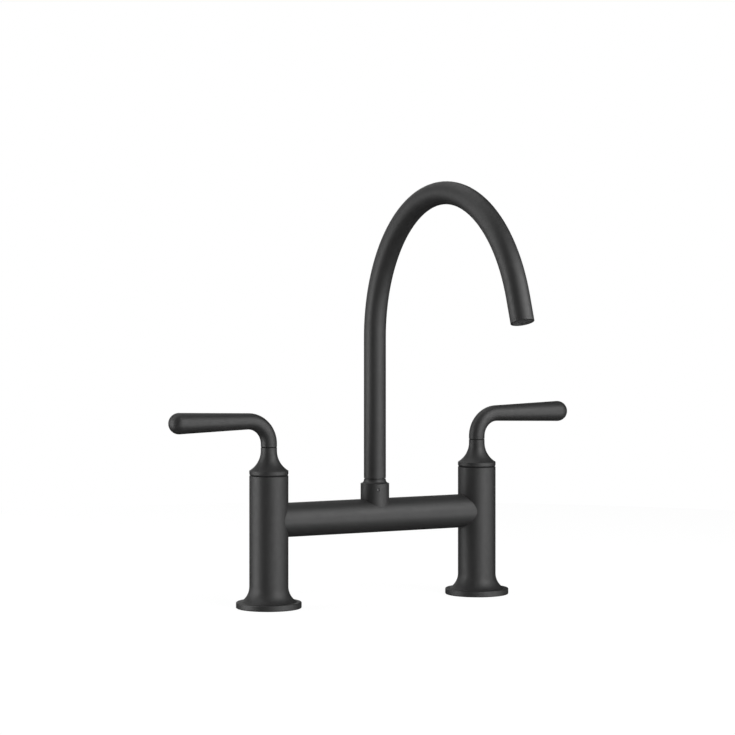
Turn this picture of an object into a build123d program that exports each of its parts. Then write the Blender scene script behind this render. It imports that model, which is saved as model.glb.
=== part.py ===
from build123d import *
import os
from math import acos, asin, atan2, cos, degrees, hypot, radians, sin

# Bridge kitchen faucet: two quarter-turn lever valves joined by a bridge, with a swivelling gooseneck.
# Millimetres. +Z is up and the deck is Z = 0. The origin is on the deck, midway between the pillars.
# The bridge runs along X with the hot side at -X, and the spout reaches towards -Y, the user's side.

# ---- Fits and gaps -----------------------------------------------------------------------------
running_fit = 0.05          # radial gap round a piece that turns in another
press_gap = 0.02            # radial gap round a piece that is screwed, pressed or brazed home
face_gap = 0.05             # axial gap between faces that slide on each other
free_gap = 0.3              # gap between pieces that never touch

# ---- Layout ------------------------------------------------------------------------------------
pillar_spacing = 203.2      # the standard 8 in between supply centres
bridge_height = 73.6        # deck to the bridge's axis
pillar_above_bridge = 38.3  # bridge axis to the pillar's top

# ---- Valve cartridge, whose radii build up to the pillar's radius -------------------------------
spindle_diameter = 8.0
disc_diameter = 14.4        # ceramic discs
disc_thickness = 3.0
disc_rim = 1.1              # ceramic left outside the water ports
disc_port_width = 3.2
disc_port_arc = 44.0        # sweep of each port's centre line, in degrees
tang_width = 2.4            # driving bar between the spindle and the turning disc
tang_depth = 1.5
barrel_wall = 1.6           # cartridge wall round the discs
chamber_gap = 1.7           # water gap round the cartridge barrel
cartridge_ledge = 1.8       # seat under the cartridge flange
flange_clearance = 0.2      # radial, between the flange and the bonnet's skirt
bonnet_skirt_wall = 1.45
pillar_mouth_wall = 2.555
seat_drop = 15.6            # bridge axis down to the valve seat
seal_height = 3.0           # seat seal
seal_stand_out = 0.6        # how far the seal stands below the barrel
seal_wall = 1.6
seal_slack = 0.6            # axial room beside each round seal in its groove
flange_seal_thickness = 1.86
neck_diameter = 12.8        # cartridge neck round the spindle
neck_clearance = 0.6        # round the neck inside the bonnet
neck_headroom = 0.9         # above the spindle's clip inside the bonnet
hex_across_flats = 20.6
cartridge_flange_height = 1.6
cartridge_hex_height = 4.0
cartridge_neck_height = 7.5
cartridge_thread_length = 15.9
spindle_collar_wall = 2.2   # how far the spindle's collar stands out from its shank
spindle_collar_height = 3.0
spindle_seal_thickness = 1.28
clip_thickness = 1.0
clip_depth = 0.6            # how deep the clip sits in the spindle
clip_width = 1.4            # how far the clip stands out from the spindle
clip_opening = 4.6
collar_rise = 10.4          # bridge axis up to the collar's stop
outlet_window_width = 6.5
outlet_window_height = 9.0
port_diameter = 15.0        # pillar's port into the bridge
passage_diameter = 11.0     # supply passage below the seat
inlet_diameter = 18.63      # tapping size of a G 1/2 supply thread
inlet_depth = 14.0

# ---- Foot ----------------------------------------------------------------------------------------
foot_thickness = 5.15
foot_cove_radius = 15.0     # hollow sweep from the pillar out to the foot
foot_cove_angle = 59.0
foot_ledge = 3.94           # flat rim outside the sweep
foot_top_edge = 0.9
foot_bottom_edge = 0.8
pillar_top_edge = 0.5
gasket_width = 9.0
gasket_thickness = 1.5
gasket_margin = 3.2         # from the gasket to the foot's edge

# ---- Bonnet ----------------------------------------------------------------------------------------
bonnet_skirt = 8.0          # depth of the skirt screwed into the pillar
bead_height = 4.15          # upright rim at the bonnet's base
bead_roll = 2.1             # radius that rolls the rim under
bead_roll_angle = 62.0
bell_radius = 19.6          # hollow sweep from the rim in to the neck
bonnet_neck_height = 2.93
bonnet_bush_length = 6.0
bonnet_bush_wall = 1.35

# ---- Lever -----------------------------------------------------------------------------------------
lever_neck_diameter = 13.8
lever_neck_height = 2.4
lever_elbow_radius = 19.74  # to the centre line
lever_reach = 91.95         # pillar axis to the lever's tip
lever_tip_diameter = 17.9
lever_base_edge = 0.3
pilot_depth = 2.6           # plain bore below the splines
groove_length = 3.9         # spindle groove that the set screw grips
spline_length = 5.0
spline_teeth = 20
tooth_height = 0.4
tooth_width = 0.55
tooth_step = 0.1            # the splines are this much smaller than the shank, in radius
groove_step = 0.15          # and the groove this much smaller than the splines' root
socket_end_gap = 0.5
lever_screw_diameter = 3.0
lever_screw_socket = 1.5    # across flats
lever_screw_sink = 0.5
screw_tip_chamfer = 0.35

# ---- Bridge ----------------------------------------------------------------------------------------
bridge_diameter = 29.1
bridge_wall = 2.0
sleeve_length = 10.0        # how far the brazing sleeve reaches into the bridge
sleeve_bore = 12.0

# ---- Hub and swivel, whose heights build up from the bridge --------------------------------------
spigot_diameter = 14.3      # the turning core at the spout's base
spigot_bore = 9.6
bush_wall = 0.8
bush_length = 3.5
bush_flange = 0.75          # thrust flange that the spout turns on
bush_flange_ledge = 0.35
hub_wall = 4.33
hub_skirt_wall = 2.0        # wall of the hub where it enters the bridge
hub_skirt_drop = 5.0        # how far the hub hangs inside the bridge
hub_lip_wall = 1.43         # metal left round the bore above the hub's hollow sweep
hub_lip_height = 0.45
hub_cove_radius = 3.3
groove_land = 1.0           # metal between neighbouring grooves
ring_thickness = 1.8        # swivel seals
screw_land = 3.3            # metal between the seals and the set screw's groove
hub_screw_diameter = 3.0
hub_screw_play = 0.25       # each side of the set screw in its groove
hub_screw_drop = 8.55       # hub top down to the set screw
hub_screw_angle = 13.8      # the set screw's turn from the front towards the hot side
hub_screw_sink = 0.5
hub_screw_socket = 1.5      # across flats
spigot_groove_depth = 1.2

# ---- Spout -----------------------------------------------------------------------------------------
spout_diameter = 19.05      # 3/4 in tube
spout_wall = 1.2
spout_riser = 121.15        # upright run from the spout's base to the bend
spout_bend_radius = 123.0
spout_bend_angle = 161.1
spout_tail = 19.8           # straight run into the outlet
spout_base_edge = 0.25
spout_end_edge = 0.15
spigot_plug_length = 8.0

# ---- Aerator ---------------------------------------------------------------------------------------
outlet_collar_height = 1.9  # collar that closes the tube's end
outlet_collar_edge = 0.3
outlet_mouth_chamfer = 0.45
outlet_ring_wall = 0.75
outlet_ring_length = 14.0   # with its collar
outlet_shoulder = 2.0
outlet_shoulder_ledge = 1.4
washer_thickness = 1.5
shell_recess = 0.35
shell_wall = 0.6
shell_step = 0.7            # each ledge inside the shell
shell_lip = 0.45            # rim left below the grid
grid_thickness = 2.4
grid_rings = 3              # rings of cells round the middle one
grid_rim = 0.75
grid_bar = 0.3
plate_thickness = 1.8
plate_rim = 2.2             # from the plate's edge to its circle of holes
plate_holes = 16
plate_hole_diameter = 1.0

# ---- Sizes that follow ---------------------------------------------------------------------------
SIDES = {"left": -1, "right": 1}
pillar_height = bridge_height + pillar_above_bridge
spindle_radius = spindle_diameter / 2
disc_radius = disc_diameter / 2
barrel_bore = disc_radius + running_fit
barrel_radius = barrel_bore + barrel_wall
chamber_radius = barrel_radius + chamber_gap
cartridge_flange_radius = chamber_radius + cartridge_ledge
skirt_bore = cartridge_flange_radius + flange_clearance
skirt_radius = skirt_bore + bonnet_skirt_wall
pillar_mouth = skirt_radius + press_gap
pillar_radius = pillar_mouth + pillar_mouth_wall
seat_height = bridge_height - seat_drop
cartridge_seat = pillar_height - bonnet_skirt
barrel_low = seat_height + seal_stand_out
fixed_disc_low = seat_height + seal_height
turning_disc_low = fixed_disc_low + disc_thickness + face_gap
turning_disc_high = turning_disc_low + disc_thickness
collar_stop = bridge_height + collar_rise
hex_low = cartridge_seat + cartridge_flange_height
neck_low = hex_low + cartridge_hex_height
neck_high = neck_low + cartridge_neck_height
clip_high = neck_high + 2 * face_gap + clip_thickness
spindle_bore = spindle_radius + running_fit
flange_seal_groove = flange_seal_thickness + seal_slack
flange_groove_radius = chamber_radius - flange_seal_thickness - 2 * press_gap
spindle_seal_groove = spindle_seal_thickness + seal_slack
spindle_groove_radius = spindle_radius - spindle_seal_thickness - press_gap
disc_port_radius = disc_radius - disc_rim - disc_port_width / 2
tang_length = disc_diameter - 2 * disc_rim

foot_cove_top = foot_thickness + foot_cove_radius * sin(radians(foot_cove_angle))
foot_corner = pillar_radius + foot_cove_radius * (1 - cos(radians(foot_cove_angle)))
foot_radius = foot_corner + foot_ledge

lever_neck_radius = lever_neck_diameter / 2
bead_top = pillar_height + bead_height
bell_angle = degrees(acos((lever_neck_radius + bell_radius - pillar_radius) / bell_radius))
bell_top = bead_top + bell_radius * sin(radians(bell_angle))
bonnet_top = bell_top + bonnet_neck_height
bush_low = bonnet_top - bonnet_bush_length
lever_base = bonnet_top + free_gap
elbow_start = lever_base + lever_neck_height
arm_height = elbow_start + lever_elbow_radius
groove_low = lever_base + pilot_depth
spline_low = groove_low + groove_length
spindle_top = spline_low + spline_length
lever_screw_height = groove_low + groove_length / 2
socket_top = spindle_top + socket_end_gap
spline_root = spindle_radius - tooth_step - tooth_height
groove_radius = spline_root - groove_step

bridge_radius = bridge_diameter / 2
bridge_bore = bridge_radius - bridge_wall
port_radius = port_diameter / 2

spigot_radius = spigot_diameter / 2
bush_bore = spigot_radius + running_fit
bush_radius = bush_bore + bush_wall
hub_bore = bush_radius + press_gap
hub_radius = hub_bore + hub_wall
hub_lip_radius = hub_bore + hub_lip_wall
hub_skirt_radius = hub_bore + hub_skirt_wall
hub_low = bridge_height + bridge_bore - hub_skirt_drop
ring_groove_width = ring_thickness + seal_slack
ring_heights = [
    hub_low + bush_length + groove_land + ring_groove_width / 2,
    hub_low + bush_length + 2 * groove_land + ring_groove_width * 3 / 2,
]
screw_groove_width = hub_screw_diameter + 2 * hub_screw_play
hub_screw_height = ring_heights[1] + ring_groove_width / 2 + screw_land + screw_groove_width / 2
hub_top = hub_screw_height + hub_screw_drop
spout_base = hub_top + bush_flange + face_gap
ring_groove_radius = hub_bore - press_gap - ring_thickness - press_gap
screw_groove_radius = spigot_radius - spigot_groove_depth

spout_radius = spout_diameter / 2
spout_bore = spout_radius - spout_wall
outlet_ring_radius = spout_bore - press_gap
outlet_bore = outlet_ring_radius - outlet_ring_wall
shell_radius = outlet_bore - press_gap
shell_inside = shell_radius - shell_wall
plate_radius = shell_inside - press_gap
grid_radius = shell_inside - shell_step - press_gap
shoulder_depth = outlet_ring_length - outlet_shoulder
shell_depth = shoulder_depth - washer_thickness
grid_low = shell_recess + shell_lip
grid_pitch = (grid_radius - grid_rim) / (grid_rings + 0.5)

os.makedirs("parts", exist_ok=True)


# ---- Helpers ---------------------------------------------------------------------------------------
def keep(builder, name):
    """Label a finished piece and write it as its own STEP file."""
    builder.part.label = name
    export_step(builder.part, f"parts/{name}.step")


def centre_x(side):
    return side * pillar_spacing / 2


def turning_plane(x):
    """Upright plane through a vertical axis: local x is the radius and local y the height."""
    return Plane(origin=(x, 0, 0), x_dir=(1, 0, 0), z_dir=(0, -1, 0))


def upright(x):
    return Axis((x, 0, 0), (0, 0, 1))


def level(x, height):
    """Level plane centred on a vertical axis."""
    return Plane(origin=(x, 0, height))


def cut_bores(planes_and_bores):
    """Cut round bores from the part being built, each given as (plane, radius, depth)."""
    for plane, radius, depth in planes_and_bores:
        with BuildSketch(plane) as mouth:
            Circle(radius)
        extrude(mouth.sketch, amount=depth, mode=Mode.SUBTRACT)


def rim_at(builder, centre, radius):
    """The round edge of a given radius whose centre lies nearest to a point."""
    circles = builder.edges().filter_by(GeomType.CIRCLE)
    rims = circles.filter_by(lambda edge: abs(edge.radius - radius) < 0.001)
    return rims.sort_by(lambda edge: (edge.arc_center - Vector(*centre)).length)[0]


def make_ring(name, plane, outer, inner, height):
    """Flat-ended ring, such as a gasket, a washer or a plain bush."""
    with BuildPart() as ring:
        with BuildSketch(plane):
            Circle(outer)
            Circle(inner, mode=Mode.SUBTRACT)
        extrude(amount=height)
    keep(ring, name)


def make_seals(name, x, heights, outer, inner):
    """Round-section rubber rings round a vertical axis, one at each height, in one node."""
    with BuildPart() as seals:
        with BuildSketch(turning_plane(x)):
            with Locations(*[((outer + inner) / 2, height) for height in heights]):
                Circle((outer - inner) / 2)
        revolve(axis=upright(x))
    keep(seals, name)


def make_set_screw(name, plane, radius, length, socket):
    """Headless screw from its chamfered tip, with a hexagon socket in its outer end."""
    with BuildPart() as screw:
        with BuildSketch(plane):
            Circle(radius)
        extrude(amount=length)
        chamfer(rim_at(screw, plane.origin, radius), length=screw_tip_chamfer)
        with BuildSketch(plane.offset(length)):
            RegularPolygon(socket / 2, 6, major_radius=False)
        extrude(amount=-length / 2, mode=Mode.SUBTRACT)
    keep(screw, name)


# ---- Pillar, gasket and bonnet -----------------------------------------------------------------------
def make_pillar(side_name, side):
    """Turned valve body: foot, stem, supply passage, cartridge bore and the port into the bridge."""
    x = centre_x(side)
    with BuildPart() as pillar:
        with BuildSketch(turning_plane(x)):
            with BuildLine():
                Polyline((pillar_radius, foot_cove_top), (pillar_radius, pillar_height), (0, pillar_height),
                         (0, 0), (foot_radius, 0), (foot_radius, foot_thickness),
                         (foot_corner, foot_thickness))
                CenterArc((pillar_radius + foot_cove_radius, foot_cove_top), foot_cove_radius,
                          180, foot_cove_angle)
            make_face()
        revolve(axis=upright(x))
        fillet(rim_at(pillar, (x, 0, foot_thickness), foot_radius), radius=foot_top_edge)
        fillet(rim_at(pillar, (x, 0, 0), foot_radius), radius=foot_bottom_edge)
        fillet(rim_at(pillar, (x, 0, pillar_height), pillar_radius), radius=pillar_top_edge)
        cut_bores([
            (level(x, 0), inlet_diameter / 2, inlet_depth),
            (level(x, 0), passage_diameter / 2, pillar_height),
            (level(x, seat_height), chamber_radius, pillar_height),
            (level(x, cartridge_seat), pillar_mouth, pillar_height),
            (Plane(origin=(x, 0, bridge_height), z_dir=(-side, 0, 0)), port_radius, 2 * pillar_radius),
        ])
        with BuildSketch(level(x, 0)):
            Circle(foot_radius - gasket_margin)
            Circle(foot_radius - gasket_margin - gasket_width, mode=Mode.SUBTRACT)
        extrude(amount=gasket_thickness, mode=Mode.SUBTRACT)
    keep(pillar, f"{side_name}_pillar")
    make_ring(f"{side_name}_base_gasket", level(x, 0), foot_radius - gasket_margin - press_gap,
              foot_radius - gasket_margin - gasket_width + press_gap, gasket_thickness)


def make_bonnet(side_name, side):
    """Bell-shaped cap whose skirt screws into the pillar and whose neck carries the spindle's bush."""
    x = centre_x(side)
    roll_drop = bead_roll * sin(radians(bead_roll_angle))
    roll_in = bead_roll * (1 - cos(radians(bead_roll_angle)))
    neck_room = max(neck_diameter / 2, spindle_radius + clip_width) + neck_clearance
    with BuildPart() as bonnet:
        with BuildSketch(turning_plane(x)):
            with BuildLine():
                CenterArc((pillar_radius - bead_roll, pillar_height + roll_drop), bead_roll,
                          -bead_roll_angle, bead_roll_angle)
                Line((pillar_radius, pillar_height + roll_drop), (pillar_radius, bead_top))
                CenterArc((lever_neck_radius + bell_radius, bell_top), bell_radius,
                          180 + bell_angle, -bell_angle)
                Polyline((lever_neck_radius, bell_top), (lever_neck_radius, bonnet_top), (0, bonnet_top),
                         (0, pillar_height), (pillar_radius - roll_in, pillar_height))
            make_face()
        revolve(axis=upright(x))
        chamfer(rim_at(bonnet, (x, 0, bonnet_top), lever_neck_radius), length=lever_base_edge)
        with BuildSketch(level(x, cartridge_seat + free_gap)):
            Circle(skirt_radius)
        extrude(until=Until.NEXT)
        cut_bores([
            (level(x, cartridge_seat), skirt_bore, neck_low + free_gap - cartridge_seat),
            (level(x, cartridge_seat), neck_room, clip_high + neck_headroom - cartridge_seat),
            (level(x, cartridge_seat), spindle_bore + free_gap, bonnet_top),
            (level(x, bush_low), spindle_bore + bonnet_bush_wall + press_gap, bonnet_bush_length),
        ])
    keep(bonnet, f"{side_name}_bonnet")
    make_ring(f"{side_name}_bonnet_bush", level(x, bush_low), spindle_bore + bonnet_bush_wall,
              spindle_bore, bonnet_bush_length)


# ---- Cartridge ---------------------------------------------------------------------------------------
def kidney_ports(plane, start_angle):
    """Cut the two kidney-shaped water ports through a ceramic disc."""
    with BuildSketch(plane) as ports:
        with PolarLocations(0, 2, start_angle=start_angle):
            SlotArc(CenterArc((0, 0), disc_port_radius, -disc_port_arc / 2, disc_port_arc),
                    disc_port_width)
    extrude(ports.sketch, amount=disc_thickness, mode=Mode.SUBTRACT)


def make_cartridge(side_name, side):
    """Brass cartridge body with its seat seal, fixed disc and flange seal."""
    x = centre_x(side)
    with BuildPart() as body:
        for plane, radius, height in [
            (level(x, barrel_low), barrel_radius, cartridge_seat - barrel_low),
            (level(x, cartridge_seat - cartridge_thread_length), chamber_radius - press_gap,
             cartridge_thread_length),
            (level(x, cartridge_seat), cartridge_flange_radius, cartridge_flange_height),
            (level(x, hex_low), neck_diameter / 2, cartridge_hex_height + cartridge_neck_height),
        ]:
            with BuildSketch(plane):
                Circle(radius)
            extrude(amount=height)
        with BuildSketch(level(x, hex_low)):
            RegularPolygon(hex_across_flats / 2, 6, major_radius=False)
        extrude(amount=cartridge_hex_height)
        cut_bores([
            (level(x, barrel_low), barrel_bore, collar_stop - barrel_low),
            (level(x, barrel_low), spindle_bore, neck_high),
        ])
        for facing in ((1, 0, 0), (0, 1, 0)):
            with BuildSketch(Plane(origin=(x, 0, bridge_height), x_dir=(0, 0, 1), z_dir=facing)):
                Rectangle(outlet_window_height, outlet_window_width)
            extrude(amount=barrel_radius, both=True, mode=Mode.SUBTRACT)
        with BuildSketch(level(x, cartridge_seat - flange_seal_groove)):
            Circle(chamber_radius)
            Circle(flange_groove_radius, mode=Mode.SUBTRACT)
        extrude(amount=flange_seal_groove, mode=Mode.SUBTRACT)
    keep(body, f"{side_name}_cartridge_body")

    make_ring(f"{side_name}_seat_seal", level(x, seat_height), disc_radius, disc_radius - seal_wall,
              seal_height)
    make_seals(f"{side_name}_cartridge_seal", x, [cartridge_seat - flange_seal_groove / 2],
               chamber_radius - press_gap, flange_groove_radius + press_gap)

    with BuildPart() as disc:
        with BuildSketch(level(x, fixed_disc_low)):
            Circle(disc_radius)
        extrude(amount=disc_thickness)
        kidney_ports(level(x, fixed_disc_low), 0)
    keep(disc, f"{side_name}_fixed_disc")


def make_spindle(side_name, side):
    """Turning disc, and the splined spindle that drives it, with its seals and retaining clip."""
    x = centre_x(side)
    with BuildPart() as disc:
        with BuildSketch(level(x, turning_disc_low)):
            Circle(disc_radius)
        extrude(amount=disc_thickness)
        kidney_ports(level(x, turning_disc_low), 90)
        with BuildSketch(level(x, turning_disc_high - tang_depth)):
            Rectangle(tang_length + 2 * face_gap, tang_width + 2 * face_gap)
        extrude(amount=tang_depth, mode=Mode.SUBTRACT)
    keep(disc, f"{side_name}_turning_disc")

    collar_high = collar_stop - face_gap
    bar_high = collar_high - spindle_collar_height
    seal_low = collar_stop + groove_land
    clip_low = neck_high + face_gap
    with BuildPart() as spindle:
        with BuildSketch(level(x, turning_disc_high - tang_depth)):
            Rectangle(tang_length, tang_width)
        extrude(amount=tang_depth)
        with BuildSketch(level(x, turning_disc_high)):
            Rectangle(tang_length, spindle_diameter)
            Circle(tang_length / 2, mode=Mode.INTERSECT)
        extrude(amount=disc_thickness)
        with BuildSketch(level(x, turning_disc_high)):
            Circle(spindle_radius)
        extrude(amount=groove_low - turning_disc_high)
        with BuildSketch(level(x, bar_high)):
            Circle(spindle_radius + spindle_collar_wall)
        extrude(amount=spindle_collar_height)
        with BuildSketch(level(x, groove_low)):
            Circle(groove_radius)
        extrude(amount=groove_length)
        with BuildSketch(level(x, spline_low)):
            Circle(spline_root)
            with PolarLocations(spline_root, spline_teeth):
                Rectangle(2 * tooth_height, tooth_width)
        extrude(amount=spline_length)
        for low in (seal_low, seal_low + spindle_seal_groove + groove_land):
            with BuildSketch(level(x, low)):
                Circle(spindle_bore)
                Circle(spindle_groove_radius, mode=Mode.SUBTRACT)
            extrude(amount=spindle_seal_groove, mode=Mode.SUBTRACT)
        with BuildSketch(level(x, clip_low)):
            Circle(spindle_bore)
            Circle(spindle_radius - clip_depth, mode=Mode.SUBTRACT)
        extrude(amount=clip_thickness + 2 * face_gap, mode=Mode.SUBTRACT)
    keep(spindle, f"{side_name}_spindle")

    seal_middles = [seal_low + spindle_seal_groove * (row + 0.5) + groove_land * row for row in range(2)]
    make_seals(f"{side_name}_spindle_seals", x, seal_middles, spindle_radius,
               spindle_groove_radius + press_gap)

    with BuildPart() as clip:
        with BuildSketch(level(x, clip_low + face_gap)):
            Circle(spindle_radius + clip_width)
            Circle(spindle_radius - clip_depth + press_gap, mode=Mode.SUBTRACT)
            with Locations((0, -spindle_radius)):
                Rectangle(clip_opening, 2 * spindle_radius, mode=Mode.SUBTRACT)
        extrude(amount=clip_thickness)
    keep(clip, f"{side_name}_spindle_clip")


# ---- Lever ---------------------------------------------------------------------------------------------
def make_lever(side_name, side):
    """Lever handle: neck, quarter-turn elbow and an arm that widens to a domed tip, with its set screw."""
    x = centre_x(side)
    upright_plane = Plane(origin=(x, 0, 0), x_dir=(side, 0, 0), z_dir=(0, -side, 0))
    tip_radius = lever_tip_diameter / 2
    tip_centre = lever_reach - tip_radius
    arm_run = tip_centre - lever_elbow_radius
    taper = asin(tip_radius / hypot(arm_run, lever_neck_radius)) - atan2(lever_neck_radius, arm_run)
    shoulder = (tip_centre - tip_radius * sin(taper), arm_height + tip_radius * cos(taper))
    with BuildPart() as lever:
        with BuildLine(upright_plane) as bend:
            neck = Line((0, lever_base), (0, elbow_start))
            JernArc(start=neck @ 1, tangent=(0, 1), radius=lever_elbow_radius, arc_size=-90)
        with BuildSketch(level(x, lever_base)):
            Circle(lever_neck_radius)
        sweep(path=bend.wire())
        with BuildSketch(upright_plane):
            with BuildLine():
                Polyline((lever_reach, arm_height), (lever_elbow_radius, arm_height),
                         (lever_elbow_radius, arm_height + lever_neck_radius), shoulder)
                CenterArc((tip_centre, arm_height), tip_radius, 0, 90 + degrees(taper))
            make_face()
        revolve(axis=Axis((x, 0, arm_height), (side, 0, 0)))
        chamfer(lever.edges().filter_by(GeomType.CIRCLE).group_by(Axis.Z)[0], length=lever_base_edge)
        cut_bores([
            (level(x, lever_base), spindle_bore, pilot_depth),
            (level(x, lever_base), spline_root + running_fit, socket_top - lever_base),
            (Plane(origin=(x, 0, lever_screw_height), z_dir=(0, 1, 0)),
             lever_screw_diameter / 2 + press_gap, lever_neck_diameter),
        ])
        with BuildSketch(level(x, groove_low)):
            Circle(spline_root)
            with PolarLocations(spline_root, spline_teeth):
                Rectangle(2 * (tooth_height + running_fit), tooth_width + 2 * running_fit)
        extrude(amount=socket_top - groove_low, mode=Mode.SUBTRACT)
    keep(lever, f"{side_name}_lever")

    tip = groove_radius + running_fit
    make_set_screw(f"{side_name}_lever_screw", Plane(origin=(x, tip, lever_screw_height), z_dir=(0, 1, 0)),
                   lever_screw_diameter / 2, lever_neck_radius - lever_screw_sink - tip,
                   lever_screw_socket)


# ---- Bridge --------------------------------------------------------------------------------------------
def make_bridge_sleeve(side_name, side):
    """Shouldered sleeve that lines the bridge up with the pillar's port."""
    mouth = centre_x(side) - side * (pillar_radius + free_gap)
    towards_pillar = Plane(origin=(mouth, 0, bridge_height), z_dir=(side, 0, 0))
    towards_centre = Plane(origin=(mouth, 0, bridge_height), z_dir=(-side, 0, 0))
    with BuildPart() as sleeve:
        with BuildSketch(towards_pillar):
            Circle(port_radius - press_gap)
        extrude(amount=pillar_radius - chamber_radius - free_gap)
        with BuildSketch(towards_centre):
            Circle(bridge_bore - press_gap)
        extrude(amount=sleeve_length)
        with BuildSketch(towards_centre):
            Circle(sleeve_bore / 2)
        extrude(amount=pillar_radius, both=True, mode=Mode.SUBTRACT)
    keep(sleeve, f"{side_name}_bridge_sleeve")


def make_bridge():
    """Bridge tube with saddle-cut ends on the pillars and the hub's hole in its top."""
    with BuildPart() as bridge:
        with BuildSketch(Plane(origin=(0, 0, bridge_height), z_dir=(1, 0, 0))):
            Circle(bridge_radius)
            Circle(bridge_bore, mode=Mode.SUBTRACT)
        extrude(amount=pillar_spacing / 2, both=True)
        with BuildSketch(level(0, 0)):
            with Locations((centre_x(-1), 0), (centre_x(1), 0)):
                Circle(pillar_radius + press_gap)
        extrude(amount=pillar_height, mode=Mode.SUBTRACT)
        cut_bores([(level(0, bridge_height), hub_skirt_radius + press_gap, bridge_diameter)])
    keep(bridge, "bridge_tube")


# ---- Hub and swivel ------------------------------------------------------------------------------------
def make_hub():
    """Hub saddled on the bridge, with its swivel bushes and the set screw that holds the spout in."""
    screw_direction = (-sin(radians(hub_screw_angle)), -cos(radians(hub_screw_angle)), 0)
    with BuildPart() as hub:
        with BuildSketch(turning_plane(0)):
            with Locations((0, bridge_height)):
                Rectangle(hub_radius, hub_top - bridge_height, align=(Align.MIN, Align.MIN))
            with Locations((hub_lip_radius + hub_cove_radius, hub_top - hub_lip_height)):
                Circle(hub_cove_radius, mode=Mode.SUBTRACT)
            with Locations((hub_lip_radius, hub_top - hub_lip_height)):
                Rectangle(hub_radius, hub_lip_height, align=(Align.MIN, Align.MIN), mode=Mode.SUBTRACT)
        revolve(axis=upright(0))
        with BuildSketch(Plane(origin=(0, 0, bridge_height), z_dir=(1, 0, 0))):
            Circle(bridge_radius + press_gap)
        extrude(amount=2 * hub_radius, both=True, mode=Mode.SUBTRACT)
        with BuildSketch(level(0, hub_low)):
            Circle(hub_skirt_radius)
        extrude(amount=hub_screw_height - hub_low)
        cut_bores([
            (level(0, hub_low), hub_bore, hub_top - hub_low),
            (Plane(origin=(0, 0, hub_screw_height), z_dir=screw_direction),
             hub_screw_diameter / 2 + press_gap, 2 * hub_radius),
        ])
    keep(hub, "spout_hub")

    make_ring("lower_swivel_bush", level(0, hub_low), bush_radius, bush_bore, bush_length)
    with BuildPart() as bush:
        with BuildSketch(level(0, hub_top - bush_length)):
            Circle(bush_radius)
        extrude(amount=bush_length)
        with BuildSketch(level(0, hub_top)):
            Circle(bush_radius + bush_flange_ledge)
        extrude(amount=bush_flange)
        cut_bores([(level(0, hub_top - bush_length), bush_bore, bush_length + bush_flange)])
    keep(bush, "upper_swivel_bush")

    tip = screw_groove_radius + free_gap
    tip_point = (tip * screw_direction[0], tip * screw_direction[1], hub_screw_height)
    make_set_screw("hub_set_screw", Plane(origin=tip_point, z_dir=screw_direction),
                   hub_screw_diameter / 2, hub_radius - hub_screw_sink - tip, hub_screw_socket)


def make_spigot():
    """Turning core brazed into the spout's base, grooved for its seals and the set screw."""
    plug_top = spout_base + spigot_plug_length
    spigot_low = hub_low + free_gap
    with BuildPart() as spigot:
        with BuildSketch(level(0, spigot_low)):
            Circle(spigot_radius)
        extrude(amount=spout_base - spigot_low)
        with BuildSketch(level(0, spout_base)):
            Circle(spout_bore - press_gap)
        extrude(amount=spigot_plug_length)
        cut_bores([(level(0, spigot_low), spigot_bore / 2, plug_top - spigot_low)])
        grooves = [(height, ring_groove_width, ring_groove_radius) for height in ring_heights]
        grooves.append((hub_screw_height, screw_groove_width, screw_groove_radius))
        for height, width, radius in grooves:
            with BuildSketch(level(0, height - width / 2)):
                Circle(spigot_radius + free_gap)
                Circle(radius, mode=Mode.SUBTRACT)
            extrude(amount=width, mode=Mode.SUBTRACT)
    keep(spigot, "spout_spigot")
    make_seals("swivel_seals", 0, ring_heights, hub_bore - press_gap, ring_groove_radius + press_gap)


# ---- Spout and aerator ---------------------------------------------------------------------------------
def make_spout():
    """Gooseneck: one tube swept up the riser, round the bend and down the tail. Returns its end plane."""
    side_view = Plane(origin=(0, 0, 0), x_dir=(0, -1, 0), z_dir=(-1, 0, 0))
    with BuildPart() as spout:
        with BuildLine(side_view) as route:
            riser = Line((0, spout_base), (0, spout_base + spout_riser))
            bend = JernArc(start=riser @ 1, tangent=(0, 1), radius=spout_bend_radius,
                           arc_size=-spout_bend_angle)
            PolarLine(bend @ 1, spout_tail, direction=bend % 1)
        with BuildSketch(level(0, spout_base)):
            Circle(spout_radius)
            Circle(spout_bore, mode=Mode.SUBTRACT)
        sweep(path=route.wire())
        tube_end = Plane(origin=route.wire() @ 1, z_dir=route.wire() % 1)
        fillet(rim_at(spout, (0, 0, spout_base), spout_radius), radius=spout_base_edge)
        fillet(rim_at(spout, tube_end.origin, spout_radius), radius=spout_end_edge)
    keep(spout, "spout_tube")
    return tube_end


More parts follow.
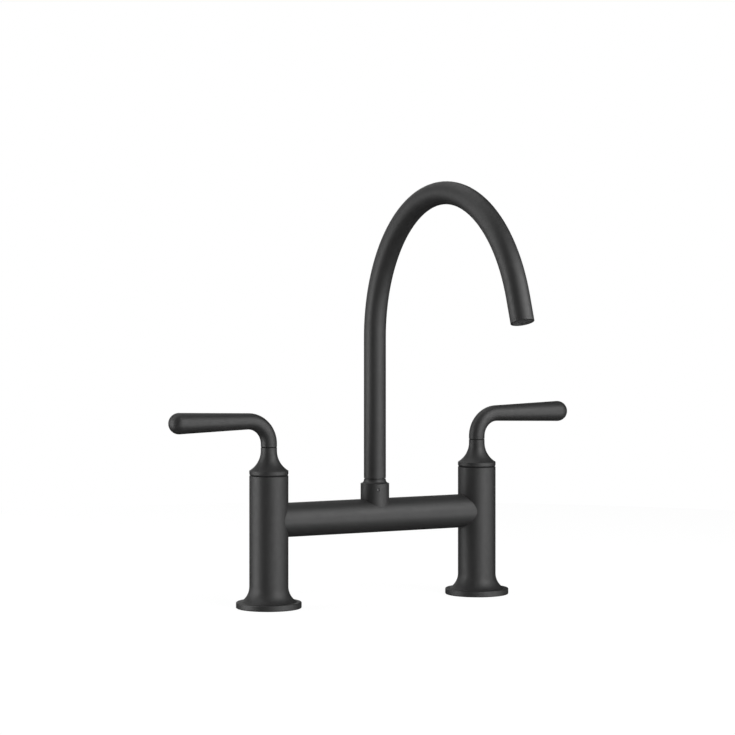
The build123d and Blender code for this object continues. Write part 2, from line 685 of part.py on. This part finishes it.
def make_outlet(tube_end):
    """Collared outlet ring and the aerator inside it. Depths are measured inwards from the collar's face."""
    outlet = tube_end.offset(outlet_collar_height)

    def inside(depth):
        return outlet.offset(-depth)

    with BuildPart() as ring:
        with BuildSketch(inside(outlet_ring_length)):
            Circle(outlet_ring_radius)
        extrude(amount=outlet_ring_length)
        with BuildSketch(inside(outlet_collar_height)):
            Circle(spout_radius)
        extrude(amount=outlet_collar_height)
        cut_bores([
            (inside(outlet_ring_length), outlet_bore - outlet_shoulder_ledge, outlet_ring_length),
            (inside(shoulder_depth), outlet_bore, outlet_ring_length),
        ])
        fillet(rim_at(ring, outlet.origin, spout_radius), radius=outlet_collar_edge)
        chamfer(rim_at(ring, outlet.origin, outlet_bore), length=outlet_mouth_chamfer)
    keep(ring, "outlet_ring")

    make_ring("aerator_washer", inside(shoulder_depth), shell_radius,
              outlet_bore - outlet_shoulder_ledge, washer_thickness)

    with BuildPart() as shell:
        with BuildSketch(inside(shell_depth)):
            Circle(shell_radius)
        extrude(amount=shell_depth - shell_recess)
        cut_bores([
            (inside(shell_depth), shell_inside - 2 * shell_step, shell_depth),
            (inside(shell_depth), shell_inside - shell_step, shell_depth - grid_low),
            (inside(shell_depth), shell_inside, plate_thickness),
        ])
    keep(shell, "aerator_shell")

    with BuildPart() as grid:
        with BuildSketch(inside(grid_low + grid_thickness)):
            Circle(grid_radius)
            rows = range(-grid_rings, grid_rings + 1)
            cells = [(grid_pitch * (q + r / 2), grid_pitch * r * sin(radians(60)))
                     for q in rows for r in rows if abs(q + r) <= grid_rings]
            with Locations(*cells):
                RegularPolygon((grid_pitch - grid_bar) / 2, 6, major_radius=False, rotation=30,
                               mode=Mode.SUBTRACT)
        extrude(amount=grid_thickness)
    keep(grid, "aerator_grid")

    with BuildPart() as plate:
        with BuildSketch(inside(shell_depth)):
            Circle(plate_radius)
            with PolarLocations(plate_radius - plate_rim, plate_holes):
                Circle(plate_hole_diameter / 2, mode=Mode.SUBTRACT)
        extrude(amount=plate_thickness)
    keep(plate, "aerator_jet_plate")


for side_name, side in SIDES.items():
    make_pillar(side_name, side)
    make_bonnet(side_name, side)
    make_cartridge(side_name, side)
    make_spindle(side_name, side)
    make_lever(side_name, side)
    make_bridge_sleeve(side_name, side)
make_bridge()
make_hub()
make_spigot()
make_outlet(make_spout())
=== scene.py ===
import math

import bmesh
import bpy
from mathutils import Matrix, Vector


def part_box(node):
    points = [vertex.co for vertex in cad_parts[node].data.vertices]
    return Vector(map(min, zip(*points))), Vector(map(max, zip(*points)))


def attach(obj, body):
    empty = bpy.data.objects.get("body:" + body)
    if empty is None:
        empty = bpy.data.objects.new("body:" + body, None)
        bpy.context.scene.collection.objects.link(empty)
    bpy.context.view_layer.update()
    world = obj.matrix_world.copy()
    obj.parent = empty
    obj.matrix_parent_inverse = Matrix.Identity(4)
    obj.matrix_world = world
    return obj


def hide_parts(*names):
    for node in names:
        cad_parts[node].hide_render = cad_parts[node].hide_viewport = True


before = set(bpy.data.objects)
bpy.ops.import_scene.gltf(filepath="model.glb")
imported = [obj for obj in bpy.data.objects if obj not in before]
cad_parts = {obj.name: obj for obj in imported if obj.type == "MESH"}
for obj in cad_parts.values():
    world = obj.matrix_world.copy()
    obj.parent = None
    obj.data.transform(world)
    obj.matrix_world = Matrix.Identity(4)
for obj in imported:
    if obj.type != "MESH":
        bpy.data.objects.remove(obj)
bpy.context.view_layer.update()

# Looks of the bridge kitchen faucet. Metres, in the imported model's frame: +Z is up, the deck is
# Z = 0, the bridge runs along X and the spout reaches towards -Y.

# ---- Camera --------------------------------------------------------------------------------------
CAMERA_PLACE = Vector((-1.11804, -2.09997, 0.309734))
CAMERA_YAW = -0.486561
CAMERA_LENS = 135
CAMERA_SENSOR = 36
CAMERA_SHIFT = -125.844 / 735        # the camera is level, with the horizon above the picture's middle

camera_data = bpy.data.cameras.new("camera")
camera_data.lens = CAMERA_LENS
camera_data.sensor_width = CAMERA_SENSOR
camera_data.shift_y = CAMERA_SHIFT
camera = bpy.data.objects.new("camera", camera_data)
camera.location = CAMERA_PLACE
camera.rotation_euler = (math.pi / 2, 0, CAMERA_YAW)
bpy.context.scene.collection.objects.link(camera)
bpy.context.scene.camera = camera
bpy.context.scene.view_settings.view_transform = "Standard"


# ---- Materials -----------------------------------------------------------------------------------
NOISE_RANGE = (0.3, 0.7)             # where nearly all values of a noise lie
DRIFT_SCALE = 55                     # slow drift of the colour
MOTTLE_SCALE = 700                   # fine mottle of the colour, half as strong
GLOSS_SCALE = 240                    # patches of more and less gloss
RING_SCALE = 5000                    # turning marks
RING_STRETCH = (0.05, 0.05, 1.0)     # draws the marks out into rings round Z
BUMP_DEPTH = 0.25                    # height of a bump as a share of its width


class Nodes:
    """Short way to add linked shader nodes to one material or world."""

    def __init__(self, tree):
        self.tree = tree
        tree.nodes.clear()

    def add(self, kind, settings=(), **inputs):
        node = self.tree.nodes.new(kind)
        for name, value in dict(settings).items():
            setattr(node, name, value)
        for name, value in inputs.items():
            self.put(node, name.replace("_", " "), value)
        return node

    def put(self, node, socket, value):
        if isinstance(value, bpy.types.NodeSocket):
            self.tree.links.new(value, node.inputs[socket])
        else:
            node.inputs[socket].default_value = value


def new_material(name):
    material = bpy.data.materials.new(name)
    material.use_nodes = True
    return material, Nodes(material.node_tree)


def noise(nodes, where, scale, detail, low, high):
    """Noise over the surface, spread to run from low to high."""
    cloud = nodes.add("ShaderNodeTexNoise", Vector=where, Scale=scale, Detail=detail)
    spread = nodes.add("ShaderNodeMapRange", Value=cloud.outputs["Fac"])
    nodes.put(spread, "From Min", NOISE_RANGE[0])
    nodes.put(spread, "From Max", NOISE_RANGE[1])
    nodes.put(spread, "To Min", low)
    nodes.put(spread, "To Max", high)
    return spread.outputs["Result"]


def surface(name, colour, roughness, spread=0.04, tint=0.08, peel=(900, 0.08), grain=(6000, 0.05),
            turned=0.0, **shader_values):
    """A finish with a slight drift of colour and roughness, a soft peel, a fine grain and turning marks.

    spread and tint say how far the roughness and the colour drift, peel and grain give the scale and
    strength of their bumps, and turned gives the strength of the turning marks.
    """
    material, nodes = new_material(name)
    place = nodes.add("ShaderNodeTexCoord").outputs["Object"]
    drift = noise(nodes, place, DRIFT_SCALE, 4.0, 1 - tint, 1 + tint)
    mottle = noise(nodes, place, MOTTLE_SCALE, 2.0, 1 - tint / 2, 1 + tint / 2)
    shade = nodes.add("ShaderNodeMath", {"operation": "MULTIPLY"})
    nodes.put(shade, 0, drift)
    nodes.put(shade, 1, mottle)
    tinted = nodes.add("ShaderNodeVectorMath", {"operation": "SCALE"}, Scale=shade.outputs[0])
    nodes.put(tinted, 0, colour)
    rough = noise(nodes, place, GLOSS_SCALE, 5.0, roughness - spread, roughness + spread)

    bumps = [(place, *peel), (place, *grain)]
    if turned:
        rings = nodes.add("ShaderNodeMapping", Vector=place, Scale=RING_STRETCH)
        bumps.append((rings.outputs["Vector"], RING_SCALE, turned))
    normal = None
    for where, scale, strength in bumps:
        level = nodes.add("ShaderNodeTexNoise", Vector=where, Scale=scale, Detail=2.0)
        bump = nodes.add("ShaderNodeBump", Height=level.outputs["Fac"], Strength=strength,
                         Distance=BUMP_DEPTH / scale)
        if normal:
            nodes.put(bump, "Normal", normal)
        normal = bump.outputs["Normal"]

    shader = nodes.add("ShaderNodeBsdfPrincipled", Base_Color=tinted.outputs["Vector"],
                       Roughness=rough, Normal=normal, **shader_values)
    nodes.add("ShaderNodeOutputMaterial", Surface=shader.outputs["BSDF"])
    return material


LOOKS = {
    "black_finish": surface("satin_black_coating", (0.016, 0.016, 0.016), 0.49),
    "black_screw": surface("blackened_screw_steel", (0.075, 0.075, 0.078), 0.40, turned=0.2,
                           Metallic=0.8),
    "brass": surface("machined_brass", (0.48, 0.24, 0.05), 0.30, turned=0.5, Metallic=1.0),
    "ceramic": surface("lapped_ceramic", (0.70, 0.69, 0.62), 0.22, peel=(2500, 0.03)),
    "seal_rubber": surface("moulded_rubber", (0.012, 0.012, 0.012), 0.80, peel=(1800, 0.12)),
    "black_acetal": surface("black_acetal_plastic", (0.018, 0.018, 0.018), 0.48, turned=0.1),
    "aerator_plastic": surface("grey_aerator_plastic", (0.060, 0.060, 0.062), 0.50),
    "steel": surface("stainless_spring_steel", (0.42, 0.42, 0.43), 0.32, turned=0.3, Metallic=1.0),
}
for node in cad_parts.values():
    for slot in node.material_slots:
        slot.material = LOOKS[slot.material.name.split(".")[0]]

# pieces painted to the light and shade where they show: the spindles are painted dark as the shade
# in the slit under the levers, the outlet's ring a touch lighter than the coating as painted light,
# and the aerator's shell darker than its grid as painted shade in the mouth
# painted shade: the spindles' brass is darkened to the shade in the slit under the levers
painted_shade_brass = surface("painted_shade_brass", (0.030, 0.026, 0.022), 0.42, turned=0.3, Metallic=0.6)
PAINTED_LIGHT_AND_SHADE_LOOKS = {
    "left_spindle": painted_shade_brass,
    "right_spindle": painted_shade_brass,
    # painted light on the outlet's ring, a touch lighter than the coating; painted shade on the
    # aerator's shell, darker than its grid
    "outlet_ring": surface("outlet_ring_painted_lighter", (0.018, 0.018, 0.018), 0.50),
    "aerator_shell": surface("aerator_shell_painted_shade", (0.045, 0.045, 0.045), 0.45),
}
for name, look in PAINTED_LIGHT_AND_SHADE_LOOKS.items():
    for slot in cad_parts[name].material_slots:
        slot.material = look


# ---- Set screws ----------------------------------------------------------------------------------
SCREW_RADIUS = 0.0015
SCREW_PITCH = 0.0005
SCREW_THREAD_DEPTH = 0.00016
SCREW_END_CHAMFER = 0.00035
SCREW_SIDES = 72
SOCKET_HALF_FLATS = 0.00075
SOCKET_LEAD = 0.12                   # the socket's mouth widens by this share of its half flats
SOCKET_DEPTH = 0.0004
SOCKET_CONE = 0.0002
HUB_SCREW_HEIGHT = 0.0965
HUB_SCREW_TURN = math.radians(13.8)  # from -Y towards -X
HUB_SCREW_ENDS = (0.00625, 0.01185)  # tip and socket, from the hub's axis

# the screw's own coating, a lighter look painted on the socket's floor as a glint, and a dark look
# painted on the end chamfer as the shade round the hole
SCREW_LOOKS = (
    LOOKS["black_screw"],
    surface("screw_socket_painted_glint", (0.12, 0.12, 0.12), 0.45, Metallic=1.0),
    surface("screw_rim_painted_shade", (0.006, 0.006, 0.006), 0.70, Specular_IOR_Level=0.1),
)
SIDE_LOOK, SOCKET_GLINT_LOOK, RIM_SHADE_LOOK = range(3)


def hexagon(half_flats):
    """Distance from the centre to a hexagon's side, at each of the screw's corners."""
    sixth = math.pi / 3
    return [half_flats / math.cos((2 * math.pi * k / SCREW_SIDES) % sixth - sixth / 2)
            for k in range(SCREW_SIDES)]


def make_screw(node, body, start, end):
    """Threaded headless screw from its tip at start to its socket at end, in place of a node."""
    # the socket's floor is painted lighter as a glint, and the end chamfer dark as the shade round the
    # hole
    length = (end - start).length
    turn = Matrix.Translation(start) @ (end - start).to_track_quat("Z", "Y").to_matrix().to_4x4()
    root = SCREW_RADIUS - SCREW_THREAD_DEPTH
    rings = [(0, root - SCREW_END_CHAMFER), (SCREW_END_CHAMFER, root)]
    height = SCREW_END_CHAMFER + SCREW_PITCH / 2
    while height < length - SCREW_END_CHAMFER - SCREW_PITCH / 2:
        rings += [(height, SCREW_RADIUS), (height + SCREW_PITCH / 2, root)]
        height += SCREW_PITCH
    rings += [(length - SCREW_END_CHAMFER, SCREW_RADIUS), (length, SCREW_RADIUS - SCREW_END_CHAMFER)]
    levels = [(height, [radius] * SCREW_SIDES) for height, radius in rings]
    lead = SOCKET_HALF_FLATS * SOCKET_LEAD
    levels += [(length, hexagon(SOCKET_HALF_FLATS + lead)),
               (length - lead, hexagon(SOCKET_HALF_FLATS)),
               (length - SOCKET_DEPTH, hexagon(SOCKET_HALF_FLATS))]

    screw = bmesh.new()
    loops = []
    for height, radii in levels:
        angles = [2 * math.pi * k / SCREW_SIDES for k in range(SCREW_SIDES)]
        loops.append([screw.verts.new(turn @ Vector((r * math.cos(a), r * math.sin(a), height)))
                      for r, a in zip(radii, angles)])
    rim = loops[len(rings) - 1]
    tip = screw.verts.new(turn @ Vector((0, 0, 0)))
    pit = screw.verts.new(turn @ Vector((0, 0, length - SOCKET_DEPTH - SOCKET_CONE)))
    for k in range(SCREW_SIDES):
        after = (k + 1) % SCREW_SIDES
        screw.faces.new((tip, loops[0][after], loops[0][k])).material_index = SIDE_LOOK
        # painted glint on the socket's floor
        screw.faces.new((pit, loops[-1][k], loops[-1][after])).material_index = SOCKET_GLINT_LOOK
        for low, high in zip(loops, loops[1:]):
            face = screw.faces.new((low[k], low[after], high[after], high[k]))
            # painted shade on the end chamfer, the faces up to the rim
            face.material_index = RIM_SHADE_LOOK if high is rim else SIDE_LOOK
    mesh = bpy.data.meshes.new(f"{node}_threaded")
    screw.to_mesh(mesh)
    screw.free()
    for look in SCREW_LOOKS:
        mesh.materials.append(look)
    piece = bpy.data.objects.new(f"{node}_threaded", mesh)
    bpy.context.scene.collection.objects.link(piece)
    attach(piece, body)
    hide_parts(node)


hub_middle = Vector((0, 0, HUB_SCREW_HEIGHT))
outward = Vector((-math.sin(HUB_SCREW_TURN), -math.cos(HUB_SCREW_TURN), 0))
make_screw("hub_set_screw", "fixture", *(hub_middle + outward * reach for reach in HUB_SCREW_ENDS))
for side in ("left", "right"):
    low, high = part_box(f"{side}_lever_screw")
    middle = (low + high) / 2
    make_screw(f"{side}_lever_screw", f"{side}_handle", Vector((middle.x, low.y, middle.z)),
               Vector((middle.x, high.y, middle.z)))


# ---- Floor, backdrop and light -------------------------------------------------------------------
WHITE = (1, 1, 1, 1)
BACKDROP_LIGHT = 1.0                 # the world where it is seen
SKY_LIGHT = 0.05                     # what the world gives, apart from the softboxes
FLOOR_RADIUS = 0.9
FLOOR_COLOUR = (0.8, 0.8, 0.8, 1)
FLOOR_WHITE = 1.085                  # the floor's own white where it is seen
FLOOR_WHITE_SHARE = 0.85             # the rest of what is seen is lit, and keeps the shadow
DOME_GREY = 0.01                     # what the dark dome gives back
DOME_RADIUS = 2.6
AIM = Vector((0.0, -0.06, 0.17))     # the middle of the faucet
SPOUT_END = Vector((0.0, -0.25, 0.27))
SOFTBOX_DISTANCE = 1.5
# azimuth to the camera's right and elevation in degrees, width and height in metres, power in watts;
# the last two also say what they stand round and how near
SOFTBOXES = {
    "left_key": (-72, 5, 0.55, 0.58, 5.85),
    "left_side": (-103, 5, 1.00, 0.58, 2.64),
    "left_low": (-80, -17, 1.05, 0.58, 5.95),
    "left_high": (-90, 27, 1.15, 0.58, 3.53),
    "left_top": (-80, 49, 0.80, 0.58, 2.35),
    "rear": (-160, 16, 1.20, 1.16, 2.08),
    "rear_high": (-170, 52, 1.10, 1.10, 0.83),
    "rear_top": (-150, 68, 1.30, 1.30, 3.66),
    "left_side_top": (-110, 66, 1.10, 1.10, 1.13),
    "front_low": (10, -17, 0.53, 0.58, 1.95),
    "right_key": (50, 5, 1.40, 0.58, 2.65),
    "right_low": (50, -17, 1.40, 0.58, 9.33),
    "right_floor": (70, -39, 0.60, 0.58, 0.64),
    "right_side": (92, -6, 0.55, 1.16, 3.08),
    "right_high": (40, 27, 1.05, 0.58, 5.07),
    "right_side_high": (88, 27, 0.70, 0.58, 2.11),
    "right_top": (40, 49, 0.75, 0.58, 3.44),
    "right_side_top": (85, 52, 0.75, 0.58, 0.84),
    "spout_side": (60, 5, 0.30, 0.40, 0.66, SPOUT_END, 0.5),
    "spout_high": (80, 25, 0.30, 0.40, 1.10, SPOUT_END, 0.5),
}


def seen_ray(nodes):
    """1 for rays that show the background: from the camera, in a reflection or through glass."""
    path = nodes.add("ShaderNodeLightPath")
    total = path.outputs["Is Camera Ray"]
    for name in ("Is Glossy Ray", "Is Transmission Ray"):
        both = nodes.add("ShaderNodeMath", {"operation": "MAXIMUM"})
        nodes.put(both, 0, total)
        nodes.put(both, 1, path.outputs[name])
        total = both.outputs[0]
    return total


def mix_shaders(nodes, share, first, second):
    """The second shader by its share, and the first for the rest."""
    mix = nodes.add("ShaderNodeMixShader", Fac=share)
    nodes.put(mix, 1, first.outputs[0])
    nodes.put(mix, 2, second.outputs[0])
    return mix.outputs[0]


def make_world():
    """White where it is seen, and a soft grey sky for the light that it gives."""
    world = bpy.data.worlds.new("studio")
    world.use_nodes = True
    world.cycles.sampling_method = "NONE"
    bpy.context.scene.world = world
    nodes = Nodes(world.node_tree)
    seen = nodes.add("ShaderNodeBackground", Color=WHITE, Strength=BACKDROP_LIGHT)
    light = nodes.add("ShaderNodeBackground", Color=WHITE, Strength=SKY_LIGHT)
    nodes.add("ShaderNodeOutputWorld", Surface=mix_shaders(nodes, seen_ray(nodes), light, seen))


def stage_object(name, shape, material):
    """Thing of the studio, made from a bmesh that is freed."""
    mesh = bpy.data.meshes.new(name)
    shape.to_mesh(mesh)
    shape.free()
    mesh.materials.append(material)
    thing = bpy.data.objects.new(name, mesh)
    bpy.context.scene.collection.objects.link(thing)
    return thing


def make_floor():
    """Round white floor that keeps a light shadow of the faucet."""
    material, nodes = new_material("white_floor")
    lit = nodes.add("ShaderNodeBsdfDiffuse", Color=FLOOR_COLOUR)
    white = nodes.add("ShaderNodeEmission", Color=WHITE, Strength=FLOOR_WHITE)
    share = nodes.add("ShaderNodeMath", {"operation": "MULTIPLY"})
    nodes.put(share, 0, seen_ray(nodes))
    nodes.put(share, 1, FLOOR_WHITE_SHARE)
    surface_seen = mix_shaders(nodes, share.outputs[0], lit, white)
    nodes.add("ShaderNodeOutputMaterial", Surface=surface_seen)
    disc = bmesh.new()
    bmesh.ops.create_circle(disc, cap_ends=True, segments=96, radius=FLOOR_RADIUS)
    floor = stage_object("floor", disc, material)
    floor.visible_glossy = floor.visible_shadow = False


def make_flags():
    """Dark dome all round, shown only in the gloss, that keeps the white studio out of it."""
    material, nodes = new_material("dark_cloth")
    cloth = nodes.add("ShaderNodeEmission", Color=WHITE, Strength=DOME_GREY)
    nodes.add("ShaderNodeOutputMaterial", Surface=cloth.outputs[0])
    sphere = bmesh.new()
    bmesh.ops.create_uvsphere(sphere, u_segments=48, v_segments=24, radius=DOME_RADIUS)
    dome = stage_object("flag_dome", sphere, material)
    dome.visible_camera = dome.visible_diffuse = dome.visible_shadow = False
    dome.visible_transmission = dome.visible_volume_scatter = False


def from_camera(azimuth, elevation):
    """Direction from the faucet, turned to the camera's right by azimuth and raised by elevation."""
    turn, rise = CAMERA_YAW + math.radians(azimuth), math.radians(elevation)
    return Vector((math.sin(turn) * math.cos(rise), -math.cos(turn) * math.cos(rise), math.sin(rise)))


def make_softbox(name, azimuth, elevation, width, height, power, aim=AIM, distance=SOFTBOX_DISTANCE):
    data = bpy.data.lights.new(name, "AREA")
    data.shape = "RECTANGLE"
    data.size, data.size_y = width, height
    data.energy = power
    lamp = bpy.data.objects.new(name, data)
    away = from_camera(azimuth, elevation)
    lamp.location = aim + away * distance
    lamp.rotation_mode = "QUATERNION"
    lamp.rotation_quaternion = away.to_track_quat("Z", "Y")
    lamp.visible_camera = False
    bpy.context.scene.collection.objects.link(lamp)


make_world()
make_floor()
make_flags()
for name, values in SOFTBOXES.items():
    make_softbox(name, *values)
